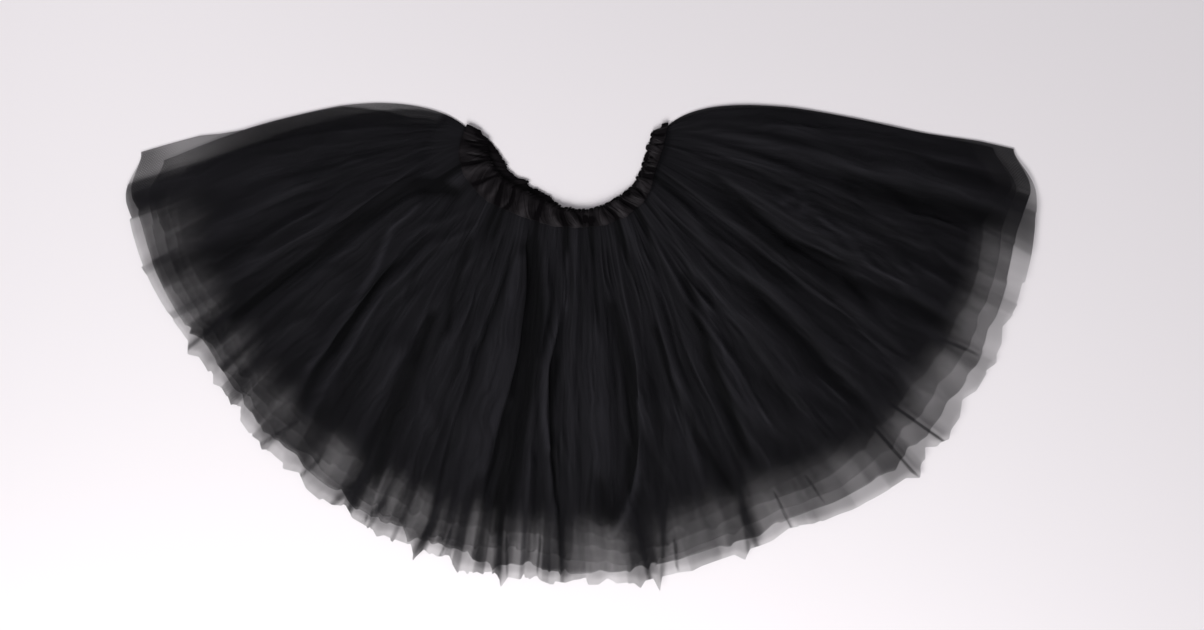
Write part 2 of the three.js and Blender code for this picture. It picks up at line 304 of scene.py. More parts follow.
# The six sheets, from the floor up: which ring each belongs to, whether it is the back half, its hem's
# usual distance above the outline, in mm, and its share of the front's main folds.
SHEETS = [
    {"ring": 0, "back": True, "short": 7, "share": 0.0},
    {"ring": 1, "back": True, "short": 24, "share": 0.0},
    {"ring": 2, "back": True, "short": 42, "share": 0.0},
    {"ring": 2, "back": False, "short": 33, "share": 0.55},
    {"ring": 1, "back": False, "short": 15, "share": 0.8},
    {"ring": 0, "back": False, "short": 0, "share": 1.0},
]
HALVES = [(5, 0), (4, 1), (3, 2)]  # each ring's front and back sheet, by their places in SHEETS
# How far the hems of the sheets spread out: place along the waist, and size, where 1 is the distances above.
SPREAD = np.array([
    [0.16, 1.0], [0.20, 1.1], [0.24, 1.3], [0.27, 1.4], [0.30, 1.5], [0.34, 1.8], [0.38, 1.5], [0.44, 2.0],
    [0.50, 2.0], [0.56, 1.4], [0.60, 1.1], [0.64, 1.4], [0.69, 1.6], [0.735, 1.7], [0.765, 2.3], [0.80, 2.5],
    [0.84, 2.2], [0.94, 1.9], [0.975, 0.9],
])

# The broad lights and darks of the front, listed: how much lighter (and higher) or darker (and lower)
# than the rest, the half-width in mm, and the line that it follows in the plan.
# Their lights are painted light and their darks painted shade in the net's colour; they also lift or lower
# the front sheets and thin or thicken their net.
LIGHT_SHADE_AND_RELIEF_LINES = [
    (-0.46, 13.5, [(-51, -20), (-46, -99), (-65, -194), (-77, -262), (-85, -318)]),
    (-0.3, 5.3, [(-23, -139), (-32, -194), (-26, -285)]),
    (0.28, 10.7, [(-65, -32), (-85, -110), (-99, -206), (-108, -251)]),
    (0.4, 4.3, [(-11, -27), (-15, -82), (-37, -139), (-41, -178), (-34, -234)]),
    (0.28, 24, [(21, -110), (21, -184), (26, -243)]),
    (-0.34, 8.5, [(38, -82), (55, -149), (64, -217), (59, -278)]),
    (0.42, 3.7, [(66, -184), (71, -251), (55, -301), (36, -330)]),
    (-0.28, 5.3, [(83, -105), (100, -161), (134, -228), (168, -285)]),
    (0.18, 12.8, [(106, -156), (123, -206), (134, -273)]),
    (-0.22, 14.9, [(28, -273), (36, -307)]),
    (-0.34, 7.5, [(-131, 38), (-171, 50), (-246, 2), (-306, -46), (-367, -94)]),
    (-0.34, 14, [(-138, 44), (-162, 42)]),
    (0.4, 3.7, [(-169, 25), (-197, 2), (-216, -39), (-252, -94), (-288, -143)]),
    (-0.16, 5.3, [(-197, -36), (-228, -78), (-259, -130)]),
    (-0.3, 9.6, [(-156, -94), (-179, -155), (-204, -216), (-216, -264)]),
    (0.18, 8.5, [(-115, -66), (-147, -152), (-169, -226), (-185, -269)]),
    (-0.24, 20, [(290, 42), (363, 24), (441, 10)]),
    (-0.19, 10.5, [(145, 57), (193, -3), (277, -52), (350, -74), (404, -105)]),
    (-0.1, 12.6, [(145, -3), (200, -76), (248, -137), (295, -180)]),
    (0.14, 13.9, [(229, 111), (350, 81), (441, 63)]),
    (0.3, 4.3, [(219, 30), (234, 39), (243, 32), (240, 17)]),
    (-0.28, 7.5, [(115, -52), (145, -143), (181, -239)]),
    (0.18, 6.4, [(136, -77), (157, -130), (188, -191)]),
    (0.16, 9.6, [(290, -109), (344, -152), (376, -184)]),
    (0.16, 12.8, [(-297, 51), (-350, 19), (-387, 3)]),
    (-0.2, 5.3, [(-115, -13), (-134, -66), (-140, -109)]),
    (0.26, 3.2, [(77, -2), (120, -77), (168, -141), (205, -205)]),
    (-0.22, 4.3, [(173, 30), (226, -13), (290, -36)]),
    (0.24, 3.2, [(258, 14), (290, -7), (312, -36), (349, -55)]),
]
# Narrow creases near the hem, where the net is folded over itself, in the same way: how many thicknesses
# of net each adds, its half-width in mm, and its line in the plan.
HEM_CREASES = [
    (2.8, 1.6, [(345, -88), (387, -117), (424, -133)]),
    (4.5, 1.6, [(330, -184), (389, -226)]),
    (4.5, 1.8, [(308, -203), (359, -262)]),
    (2.5, 1.6, [(212, -284), (229, -321)]),
    (2, 1.5, [(243, -262), (262, -292)]),
    (2.5, 5, [(176, -300), (191, -338)]),
    (2.5, 1.8, [(104, -334), (106, -363)]),
    (3, 3.5, [(60, -300), (79, -382)]),
    (2.5, 4, [(-83, -320), (-85, -372)]),
    (2, 1.6, [(-77, -330), (-76, -366)]),
    (2.2, 4.5, [(-154, -313), (-176, -348)]),
    (2.5, 1.6, [(-136, -320), (-149, -352)]),
    (2.2, 4, [(-225, -262), (-262, -294)]),
    (2.5, 1.8, [(-205, -290), (-230, -312)]),
    (2, 2.2, [(-275, -246), (-300, -268)]),
    (1.8, 1.8, [(-300, -205), (-345, -236)]),
    (2.2, 1.6, [(-41, -330), (-44, -366)]),
    (1.5, 6, [(-20, -335), (-14, -370)]),
]


def laid(rows):
    """The sum of the soft lines of a table, on the grid. Each line narrows towards its two ends."""
    plan = cloth_plan(U_GRID, S_GRID)
    field = np.zeros((NS, NU))
    for amount, half, line in rows:
        near = np.full((NS, NU), np.inf)
        points = np.array(line, float)
        last = len(points) - 2
        for k in range(len(points) - 1):
            start, move = points[k], points[k + 1] - points[k]
            part = np.clip(((plan - start) @ move) / (move @ move), 0, 1)
            gap = plan - start - part[..., None] * move
            narrowed = 1 + 0.5 * (k == 0) * (1 - part) + 0.5 * (k == last) * part
            near = np.minimum(near, (gap ** 2).sum(-1) * narrowed ** 2)
        field += amount * np.exp(-near / half ** 2)
    return field


NECK_BLUR = 9  # cells of the grid to each side


def necks():
    """Painted light and shade just under the band, where its puffs and creases run on into the net; they also
    lift, lower and thin or thicken the net there.
    """
    seam = np.zeros((1, 1))
    places = U_LINE[None, :]
    across = 0.3 * traced(PUFFS, places, seam) - 0.45 * traced(CREASES, places, seam)
    return smoothed(across, NECK_BLUR) * (1 - smoothstep(S_GRID, 0.03, 0.16))


# Broad painted light and shade of the front and just under the band; it also lifts, lowers and thins or
# thickens the front sheets' net.
LIGHT_SHADE_AND_RELIEF = laid(LIGHT_SHADE_AND_RELIEF_LINES) + necks()
HEM_COVER = laid(HEM_CREASES)

# How high the folds and the finer pleats are, from the seam to the hem, and the usual gap between sheets.
FOLD_HEIGHT = np.interp(S_LINE, [0, 0.05, 0.18, 0.5, 0.85, 1.06], [0.1, 0.3, 0.75, 1.3, 1.0, 0.6])[:, None]
PLEAT_HEIGHT = np.interp(S_LINE, [0, 0.03, 0.1, 0.3, 0.5, 1.06], [0.3, 1.0, 1.6, 1.2, 0.7, 0.4])[:, None]
GAP = np.interp(S_LINE, [0, 0.2, 1.06], [0.6, 0.7, 0.45])[:, None]
BASE = np.interp(S_LINE, [0, 0.06, 1.06], [2.6, 1.2, 0.6])[:, None]  # the cloth's lowest usual height, in mm
WIDE_HALF = 12.5  # folds with a larger half-width than this are wide
WIDE_SIZE, NARROW_SIZE = 0.45, 0.62  # the share of its height in FRONT_FOLDS that a wide or narrow fold has
LEAN_REACH = 1.4  # how far a fold's lean reaches, in its half-widths


def fold_places(centres, half, start, end):
    """How far each grid point is from a fold's middle, in half-widths, and how strong the fold is there."""
    centre = np.interp(S_LINE, STATIONS, centres)[:, None]
    x = (U_LINE[None, :] / MILLI - centre) / half
    started = smoothstep(S_LINE, start - 0.1, start + 0.1)
    ended = smoothstep(S_LINE, end - 0.15, end + 0.05)
    return x, (started * (1 - ended))[:, None]


def fold_relief(share):
    """The height of the front's main folds on the grid, in mm, by a sheet's share of them."""
    relief = np.zeros((NS, NU))
    for *centres, half, height, skew, _, start, end in FRONT_FOLDS:
        x, reach = fold_places(centres, half, start, end)
        rise = np.where(x < skew, (x + 1) / (1 + skew), (1 - x) / (1 - skew))
        size = (WIDE_SIZE if half > WIDE_HALF else NARROW_SIZE) * height
        relief += share * size * smoothstep(rise) * reach * FOLD_HEIGHT
    return relief


def fold_lean():
    """How far the cloth leans sideways on the grid, in mm for each mm of height."""
    lean = np.zeros((NS, NU))
    weight = np.full((NS, NU), 0.25)
    for *centres, half, _, _, slant, start, end in FRONT_FOLDS:
        x, reach = fold_places(centres, half, start, end)
        near = np.exp(-0.5 * (x / LEAN_REACH) ** 2)
        lean += slant * near * reach
        weight += near
    return lean / weight


# The broad panel in the middle and both sides near the band are smoother than the rest, and the middle of
# the right side is crumpled.
MIDDLE_PANEL = np.exp(-((U_GRID - 0.565) / 0.045) ** 2) * smoothstep(S_GRID, 0.15, 0.4)
AT_SIDES = 1 - smoothstep(np.minimum(U_GRID, 1 - U_GRID), 0.12, 0.24)
CALM = (1 - 0.6 * MIDDLE_PANEL) * (1 - 0.55 * AT_SIDES * (1 - smoothstep(S_GRID, 0.3, 0.6)))
RUMPLED = np.exp(-((U_GRID - 0.87) / 0.07) ** 2) * smoothstep(S_GRID, 0.2, 0.4)
RUMPLED = RUMPLED * (1 - smoothstep(S_GRID, 0.7, 0.9))
# The random crests of each sheet: their cells and how far they wander, how sharp they are, the cells of the
# patches in which they come and go, how marked those are, and their size. Then the other forms' cells.
FIRST_CRESTS = ((44, 4, 0.05), 1.6, (30, 3), 1.0, 1.6)
SECOND_CRESTS = ((58, 5, 0.06), 1.6, (40, 4), 1.0, 1.6)
SMALL_PLEATS = ((84, 7, 0.03), 1.3, (60, 6), 1.5, 2.0)
BROAD_CELLS, FINE_CELLS, RUMPLE_CELLS = (26, 3, 0.03), (330, 12, 0.01), (52, 15, 0.03)
FIRST_SIZE, SECOND_SIZE, RUMPLE_SIZE, FINE_SIZE = 3.2, 2.6, 3.2, 0.15  # mm
BROAD_SIZE, BROAD_DROP = 4.6, 2.0  # mm
TONE_HEIGHT = 9.0  # mm of height for 1 of the broad painted light
BACK_SIZE = 0.55  # the share of that height that the back sheets have
FRONT_GAP = 0.5  # mm more between the back sheets and the front ones
SIDE_KEPT, SIDE_REACH = 0.3, 70  # the share of its height that cloth keeps at a side, and how far in, in mm


def crests(rng, cells, sharpness, patches, contrast, size):
    """Wandering crests that come and go in patches."""
    return ridged(streaks(rng, *cells)) ** sharpness * streaks(rng, *patches) ** contrast * size


def sheet_heights():
    """The height of each of the six sheets on the grid, in mm, each draped over the one below."""
    heights = []
    below = np.full((NS, NU), -0.3)
    for number, sheet in enumerate(SHEETS):
        rng = np.random.default_rng(SEEDS["folds"] + number)
        broad = streaks(rng, *BROAD_CELLS)
        first = crests(rng, *FIRST_CRESTS)
        second = crests(rng, *SECOND_CRESTS)
        pleats = crests(rng, *SMALL_PLEATS)
        fine = streaks(rng, *FINE_CELLS)
        rumple = ridged(streaks(rng, *RUMPLE_CELLS)) ** 1.5 * RUMPLE_SIZE
        crossing = soft_max(FIRST_SIZE * first, SECOND_SIZE * second, 0.6)
        own = BROAD_SIZE * FOLD_HEIGHT * broad ** 1.3 - BROAD_DROP + RUMPLED * rumple
        own += CALM * (FOLD_HEIGHT * crossing + PLEAT_HEIGHT * pleats)
        own += FINE_SIZE * fine * FOLD_HEIGHT * smoothstep(S_LINE, 0.1, 0.4)[:, None]
        if sheet["back"]:
            wanted = BASE + BACK_SIZE * own + GAP * number
        else:
            relief = fold_relief(sheet["share"]) + TONE_HEIGHT * sheet["share"] * LIGHT_SHADE_AND_RELIEF
            wanted = BASE + own + relief + GAP * number + FRONT_GAP
        below = soft_max(below + GAP, wanted, 0.5)
        heights.append(below)
    inside = smoothstep(np.minimum(FROM_LEFT, FROM_RIGHT), 0, SIDE_REACH)
    flatter = SIDE_KEPT + (1 - SIDE_KEPT) * inside
    return [height * flatter for height in heights]


HEIGHTS, LEAN = sheet_heights(), fold_lean()
NEARBY = 24  # cells of the grid to each side that count as close by
USUAL_LOFT, LOFT_HEIGHT = 0.46, 12.0  # the painted light and shade of level cloth, and the mm above the cloth close by that adds 1 to it


def painted_light_and_shade_of(height):
    """Painted shade and light on the net: from 0 deep in a trough to 1 on a crest, against the cloth close
    by.
    """
    near = smoothed(smoothed(height, NEARBY), NEARBY)
    # painted shade on the net just under the band
    band_painted_shade = 0.05 * (1 - smoothstep(S_LINE, 0.0, 0.2))[:, None]
    return np.clip(USUAL_LOFT + (height - near) / LOFT_HEIGHT + 0.95 * LIGHT_SHADE_AND_RELIEF - band_painted_shade, 0, 1)


PAINTED_LIGHT_AND_SHADE = [painted_light_and_shade_of(height) for height in HEIGHTS]

# The ends of the stretches along the waist that have one doubled strip of net each, near the hem.
STRIP_RUNS = [(0.02, 0.32, 8), (0.335, 0.47, 9), (0.5, 0.98, 10)]
THINNER_FROM = 0.6  # past this place the strips are thinner
STRIP_EDGES = np.concatenate([np.linspace(*run) for run in STRIP_RUNS])


def hem_strips(number):
    """Where a sheet is folded over itself: place, half-width, slant, layers, and shifts of the hem in mm."""
    rng = np.random.default_rng(SEEDS["strips"] + number)
    strips = []
    for low, high in zip(STRIP_EDGES[:-1], STRIP_EDGES[1:]):
        place = rng.uniform(low, high)
        half = rng.uniform(0.06, 0.30) * (high - low)
        slant = rng.uniform(-0.03, 0.03)
        layers = rng.uniform(1.5, 2.6)
        if place > THINNER_FROM:
            layers = 1 + 0.4 * (layers - 1)
        shifts = rng.uniform(-7, 5, 2) * (0.7 if SHEETS[number]["ring"] == 0 else 1.0)
        strips.append((place, half, slant, layers, shifts))
    return strips


STRIPS = [hem_strips(number) for number in range(len(SHEETS))]
CREASE_HALF = 2.2  # half the width of the doubled net along a sharp crease, in mm
SHARP_HEIGHT = -6.4  # troughs of FRONT_FOLDS that are at least this deep are sharp creases
# The net lies flat along the side edges, over a wider strip on the left.
WELL_INSIDE = np.maximum(smoothstep(FROM_LEFT, 22, 66), 1 - smoothstep(S_GRID, 0.06, 0.15))
WELL_INSIDE = WELL_INSIDE * smoothstep(FROM_RIGHT, 2, 12)
# Its gathers open out towards the hem, on the left and in the middle a little sooner than on the right.
OPEN_SOONER = 0.07 * (1 - smoothstep(U_GRID, 0.70, 0.78))
OPEN_HEM = smoothstep(S_GRID + OPEN_SOONER, 0.67, 0.93)
GATHERED = 1 + (1 - OPEN_HEM) * (0.6 + 1.8 * WELL_INSIDE)


def bunching(number):
    """How closely a sheet's net is gathered on the grid, with its doubled strips and creases."""
    rng = np.random.default_rng(SEEDS["bunches"] + number)
    bunch = 0.7 + 0.55 * streaks(rng, 62, 4, 0.02)
    for place, half, slant, layers, _ in STRIPS[number]:
        away = np.abs(U_GRID - place - slant * (1 - S_GRID)) - half
        bunch = bunch + (layers - 1) * (1 - smoothstep(away * WIDTH_GRID, -1.5, 1.5))
    share = SHEETS[number]["share"]
    for *centres, half, height, skew, _, _, _ in FRONT_FOLDS:
        if height > SHARP_HEIGHT or share == 0:
            continue
        crease = (np.interp(S_LINE, STATIONS, centres)[:, None] + 0.3 * skew * half) * MILLI
        away = (U_LINE[None, :] - crease) * WIDTH_GRID / CREASE_HALF
        bunch = bunch + 1.8 * share * np.exp(-away ** 2) * smoothstep(S_LINE, 0.3, 0.7)[:, None]
    bunch = bunch * GATHERED * (1 - np.clip(0.8 * LIGHT_SHADE_AND_RELIEF, -0.4, 0.3))
    return bunch + share * HEM_COVER


BUNCHES = [bunching(number) for number in range(len(SHEETS))]
CORNER_CUT, CORNER_REACH = 16.0, 0.035  # how much the hem rounds off at the sides, in mm, and how far in
HEM_SIDE = 0.06  # how far in from the sides a ring's front and back hem draw together
FOLD_JUMP = 0.0006  # half the width of the jump in a hem at a fold
# Runs of straight stretches in a hem: how many, and their size in mm.
WIDE_FLAPS, SMALL_FLAPS, FRAYED_FLAPS = (13, 6.5), (50, 0.4), (110, 2.5)


def hem_flaps(rng, u, count, size):
    """A hem's uneven edge, in mm: straight stretches between folds, with a jump at each fold."""
    folds = np.sort(rng.random(count))
    knots = np.stack([folds - FOLD_JUMP, folds + FOLD_JUMP], 1).ravel()
    values = rng.uniform(-size, size, 2 * count)
    return np.interp(u, knots, values)


def hem_distance(number, u, side):
    """How far above the outline a sheet's hem lies, in mm. A ring's two hems meet at its side folds."""
    sheet = SHEETS[number]
    spread = np.interp(u, SPREAD[:, 0], SPREAD[:, 1])
    front = SHEETS[HALVES[sheet["ring"]][0]]["short"] * spread
    return front + (sheet["short"] * spread - front) * side


def hem_tips(number, rng, u):
    """How far the pointed ends reach out of a sheet's hem, in mm."""
    strength = 1.0 if number == 5 else 0.55
    shift = 0.0 if number in (4, 5) else rng.uniform(-0.03, 0.03)
    tips = np.zeros_like(u)
    for place, half, length in TIPS:
        x = np.abs(u - place * MILLI - shift) / (half * MILLI)
        tips += strength * length * np.clip(1 - x, 0, 1)
    return tips


def hem_cut(number, rng, u):
    """How far a sheet's hem strays from its usual line, in mm: flaps, strips and a frayed stretch."""
    flaps = hem_flaps(rng, u, *WIDE_FLAPS) + hem_flaps(rng, u, *SMALL_FLAPS)
    for place, half, _, _, shifts in STRIPS[number]:
        x = (u - place) / half
        moved = flaps + shifts[0] + (shifts[1] - shifts[0]) * (x + 1) / 2
        flaps = np.where(np.abs(x) < 1, moved, flaps)
    flaps *= 1 - 0.6 * smoothstep(u, 0.60, 0.66) - 0.35 * (1 - smoothstep(u, 0.24, 0.30))
    frayed = smoothstep(u, 0.3, 0.38) * (1 - smoothstep(u, 0.46, 0.53))
    flaps += frayed * hem_flaps(rng, u, *FRAYED_FLAPS)
    return flaps * (0.6 if SHEETS[number]["ring"] > 0 else 1.0)


def hem_end(number, u):
    """Where a sheet's hem lies along s, with its tips and its uneven cut."""
    row = section(u)
    reach = np.linalg.norm(row[..., 4:6] - row[..., 0:2], axis=-1)
    rng = np.random.default_rng(SEEDS["hems"] + number)
    inward = np.minimum(u, 1 - u)
    side = smoothstep(inward, 0.0, HEM_SIDE)
    short = hem_distance(number, u, side)
    tips = hem_tips(number, rng, u)
    flaps = hem_cut(number, rng, u)
    corner = CORNER_CUT * (1 - smoothstep(inward, 0, CORNER_REACH)) ** 2
    return 1 + (tips - short - corner + flaps * side) / reach


# -------------------- meshes

def place_in_scene(name, data):
    """A new object of the scene that holds the given data."""
    item = bpy.data.objects.new(name, data)
    scene.collection.objects.link(item)
    return item


def mesh_object(name, points, faces, attributes, uv=None):
    """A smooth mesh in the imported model's frame, from points in plan millimetres."""
    moved = np.array(points, float)
    moved[:, :2] += ROW_ORIGIN
    mesh = bpy.data.meshes.new(name)
    mesh.from_pydata((moved * MM).tolist(), [], faces.tolist())
    mesh.polygons.foreach_set("use_smooth", np.ones(len(faces), bool))
    if uv is not None:
        layer = mesh.uv_layers.new(name="UVMap")
        corners = np.empty(len(mesh.loops), np.int32)
        mesh.loops.foreach_get("vertex_index", corners)
        layer.data.foreach_set("uv", uv[corners].astype(np.float32).ravel())
    for key, values in attributes.items():
        attribute = mesh.attributes.new(key, "FLOAT", "POINT")
        attribute.data.foreach_set("value", np.asarray(values, np.float32))
    mesh.update()
    return place_in_scene(name, mesh)


def tube_faces(rows, columns):
    """Quads of a grid of points, row by row, whose last column is joined to the first."""
    j, i = np.meshgrid(np.arange(rows - 1), np.arange(columns), indexing="ij")
    k = (i + 1) % columns
    quads = np.stack([j * columns + i, (j + 1) * columns + i, (j + 1) * columns + k, j * columns + k], -1)
    return quads.reshape(-1, 4)


FRONT_COLUMNS, BACK_COLUMNS, CLOTH_ROWS = 1210, 400, 58
ROW_CROWDING = 1.15  # above 1, the rows lie closer together near the band
COLUMN_CROWDING = 0.16  # above 0, the columns lie closer together near the sides
# How far each ring's side edge lies inside the outline, in mm, from the seam to the hem.
SIDE_STATIONS = [0, 0.1, 0.25, 0.4, 0.5, 0.62, 0.7, 0.75, 0.8, 0.84, 0.9, 1]
LEFT_INSET = [
    [0, 0, 0, 0, 1, 5, 7, 8.5, 6, 2, 1, 0],
    [1.9, 7, 14, 8, 2.5, 5.5, 7.5, 9, 11, 13, 16, 18],
    [3.8, 10, 21, 26, 28, 28, 29, 30, 31, 31, 32, 32],
]
RIGHT_INSET = [
    [0, 0, 0, 1, 2, 5, 6.5, 7.3, 7, 5, 1.5, 0],
    [1.9, 2.5, 5, 5, 5, 8, 9, 9.5, 9.5, 8, 5, 4],
    [3.8, 5, 7, 8, 8, 11, 12, 13, 13, 12, 9, 9],
]
EDGE = 0.06  # how far in, along the waist, the columns follow the side edges
SIDE_TURN = (2.0, 7.0)  # how far from its side edge a ring starts to turn round, at the seam and the hem, mm
LEAN_FROM = 3.0  # the height at which the cloth doesn't lean, in mm
TOP = -0.012  # the cloth's top edge, inside the band
HEM_FADE = (0.0, 0.3, 0.6)  # how much thinner each ring's net gets towards its own hem
RING_COVER = (1.3, 1.15, 1.35)  # how closely each ring's net is gathered at its hem


def half_columns(count):
    """Places from 0 to 1, closer together near both ends."""
    x = np.linspace(0, 1, count)
    return x - COLUMN_CROWDING * np.sin(2 * np.pi * x) / (2 * np.pi)


# How much denser the net is than its gathers say: at the hem, more so on the left, and at the right end.
HEM_DENSER, LEFT_DENSER, RIGHT_DENSER = 0.3, 0.3, 1.2


def side_edge(table, u, s):
    """How far inside the outline a ring's side edge lies, along the waist."""
    return np.interp(np.clip(s, 0, 1), SIDE_STATIONS, table) / stride(np.full_like(s, u), s)


def half_sheet(number, count):
    """One half of a ring as a grid: its places u and s, its two side edges, and t from 0 (top) to 1 (hem)."""
    ring = SHEETS[number]["ring"]
    t = np.linspace(0, 1, CLOTH_ROWS)[:, None] ** ROW_CROWDING
    across = half_columns(count)[None, :]
    s = TOP + t * (hem_end(number, across[0])[None, :] - TOP)
    left = side_edge(LEFT_INSET[ring], 0.0, s)
    right = side_edge(RIGHT_INSET[ring], 1.0, s)
    u = across + 0 * s
    u = np.where(across < EDGE, left + across / EDGE * (EDGE - left), u)
    u = np.where(across > 1 - EDGE, 1 - right - (1 - across) / EDGE * (EDGE - right), u)
    return u, s, left, right, t


def net_cover(number, u, s, t, width):
    """How many flat thicknesses of net lie at each point of a sheet; width is the mm in a unit step of u."""
    ring = SHEETS[number]["ring"]
    closer = 1 + (stride(u, np.ones_like(u)) / width - 1) * sample(WELL_INSIDE, u, s)
    on_left = 1 - smoothstep(u, 0.32, 0.42)
    denser = 1 + (HEM_DENSER + LEFT_DENSER * on_left) * smoothstep(s, 0.88, 0.97)
    denser = denser + RIGHT_DENSER * smoothstep(u, 0.92, 0.96)
    denser = denser * (1 - HEM_FADE[ring] * smoothstep(t, 0.84, 1.0))
    return RING_COVER[ring] * denser * closer * sample(BUNCHES[number], u, s)


def half_ring(number, count):
    """The points of one half of a ring, and their u, s, cover and painted light and shade."""
    front_number, back_number = HALVES[SHEETS[number]["ring"]]
    u, s, left, right, t = half_sheet(number, count)
    middle = (sample(HEIGHTS[front_number], u, s) + sample(HEIGHTS[back_number], u, s)) / 2
    step = pace(u, s)
    width = np.linalg.norm(step, axis=-1)
    turn = SIDE_TURN[0] + (SIDE_TURN[1] - SIDE_TURN[0]) * np.clip(s, 0, 1)
    from_edge = np.minimum(u - left, 1 - right - u) * width / turn
    closing = np.sqrt(np.clip(1 - (1 - np.clip(from_edge, 0, 1)) ** 2, 0, 1))
    z = middle + (sample(HEIGHTS[number], u, s) - middle) * closing
    sideways = sample(LEAN, u, s) * (z - LEAN_FROM) * closing
    plan = cloth_plan(u, s) + step / width[..., None] * sideways[..., None]
    return np.dstack([plan, z]), u, s, net_cover(number, u, s, t, width), sample(PAINTED_LIGHT_AND_SHADE[number], u, s)


def ring_points(ring):
    """One ring of net: the front half from left to right, then the back half from right to left."""
    front_number, back_number = HALVES[ring]
    front = half_ring(front_number, FRONT_COLUMNS)
    back = [values[:, ::-1][:, 1:-1] for values in half_ring(back_number, BACK_COLUMNS)]
    back[1] = 2 - back[1]
    points, u, s, cover, painted_light_and_shade = (np.concatenate(pair, 1) for pair in zip(front, back))
    uv = np.dstack([u * NET_WIDTH, s * NET_LENGTH]) * MM
    values = {"cover": cover.ravel(), "painted_light_and_shade": painted_light_and_shade.ravel()}
    return points.reshape(-1, 3), uv.reshape(-1, 2), values, points.shape[1]


# -------------------- materials

def node(tree, kind, **settings):
    """A new shader node with the given settings."""
    made = tree.nodes.new(kind)
    for key, value in settings.items():
        setattr(made, key, value)
    return made


def math(tree, operation, a, b=None, clamp=False):
    """The result of a math node on one or two values, each a number or another node's output."""
    made = node(tree, "ShaderNodeMath", operation=operation, use_clamp=clamp)
    for slot, value in enumerate((a, b)):
        if value is None:
            continue
        if isinstance(value, (int, float)):
            made.inputs[slot].default_value = value
        else:
            tree.links.new(value, made.inputs[slot])
    return made.outputs[0]


def shade(tree, value, dark, bright):
    """A colour that goes from dark to bright as a value does: each is a place from 0 to 1 and a colour."""
    ramp = node(tree, "ShaderNodeValToRGB")
    for element, (position, colour) in zip(ramp.color_ramp.elements, (dark, bright)):
        element.position = position
        element.color = (*colour, 1)
    tree.links.new(value, ramp.inputs[0])
    return ramp.outputs[0]


def new_material(name, roughness, specular):
    """A new material, its node tree and its shader."""
    material = bpy.data.materials.new(name)
    material.use_nodes = True
    tree = material.node_tree
    shader = tree.nodes["Principled BSDF"]
    shader.inputs["Roughness"].default_value = roughness
    shader.inputs["Specular IOR Level"].default_value = specular
    return material, tree, shader


SHEET_COVER = 0.25  # share of the light that one flat thickness of net stops
MESH_PITCH = 1.6 * MM  # size of the net's holes
MESH_DEPTH = 0.12  # how much the mesh shows
# Ends of the net's colour ramp, place and colour: painted shade in troughs, painted light on crests.
NET_PAINTED_SHADE, NET_PAINTED_LIGHT = (0.12, (0.0022, 0.0021, 0.0026)), (0.95, (0.0163, 0.0155, 0.0187))
# Ends of the satin's colour ramp, place and colour: painted shade in the gathers, painted sheen on the puffs.
SATIN_PAINTED_SHADE, SATIN_PAINTED_SHEEN = (0.05, (0.0022, 0.0016, 0.0021)), (0.85, (0.0245, 0.0215, 0.0238))


def noise(tree, x, y, detail=2.0, roughness=0.5):
    """Noise over the cloth, from 0 to 1, at x and y in cells."""
    place = node(tree, "ShaderNodeCombineXYZ")
    tree.links.new(x, place.inputs[0])
    tree.links.new(y, place.inputs[1])
    made = node(tree, "ShaderNodeTexNoise", noise_dimensions="2D")
    made.inputs["Scale"].default_value = 1.0
    made.inputs["Detail"].default_value = detail
    made.inputs["Roughness"].default_value = roughness
    tree.links.new(place.outputs[0], made.inputs["Vector"])
    return made.outputs["Fac"]


def wisp_pattern(tree, across, down):
    """Fine wandering streaks down the cloth, where the net's threads lie closer: about 0.2 to 0.8."""
    slow = noise(tree, math(tree, "MULTIPLY", across, 11.0), math(tree, "MULTIPLY", down, 15.0))
    drift = math(tree, "MULTIPLY", math(tree, "SUBTRACT", slow, 0.5), 0.03)
    moved = math(tree, "ADD", across, drift)
    fine = noise(tree, math(tree, "MULTIPLY", moved, 130.0), math(tree, "MULTIPLY", down, 7.0), 3.0, 0.6)
    broad = noise(tree, math(tree, "MULTIPLY", moved, 36.0), math(tree, "MULTIPLY", down, 5.0), 3.0, 0.6)
    return math(tree, "ADD", math(tree, "MULTIPLY", fine, 0.5), math(tree, "MULTIPLY", broad, 0.5))


def mesh_pattern(tree, across, down):
    """The net's six-sided mesh: a little above 1 on its threads and below 1 in its holes."""
    x = math(tree, "MULTIPLY", across, 2 * np.pi / MESH_PITCH)
    y = math(tree, "MULTIPLY", down, 2 * np.pi / MESH_PITCH)
    slant = math(tree, "MULTIPLY", x, 0.5)
    rise = math(tree, "MULTIPLY", y, 0.866)
    first = math(tree, "COSINE", math(tree, "ADD", slant, rise))
    second = math(tree, "COSINE", math(tree, "SUBTRACT", slant, rise))
    total = math(tree, "ADD", math(tree, "ADD", first, second), math(tree, "COSINE", x))
    return math(tree, "ADD", math(tree, "MULTIPLY", total, -MESH_DEPTH), 1.0)


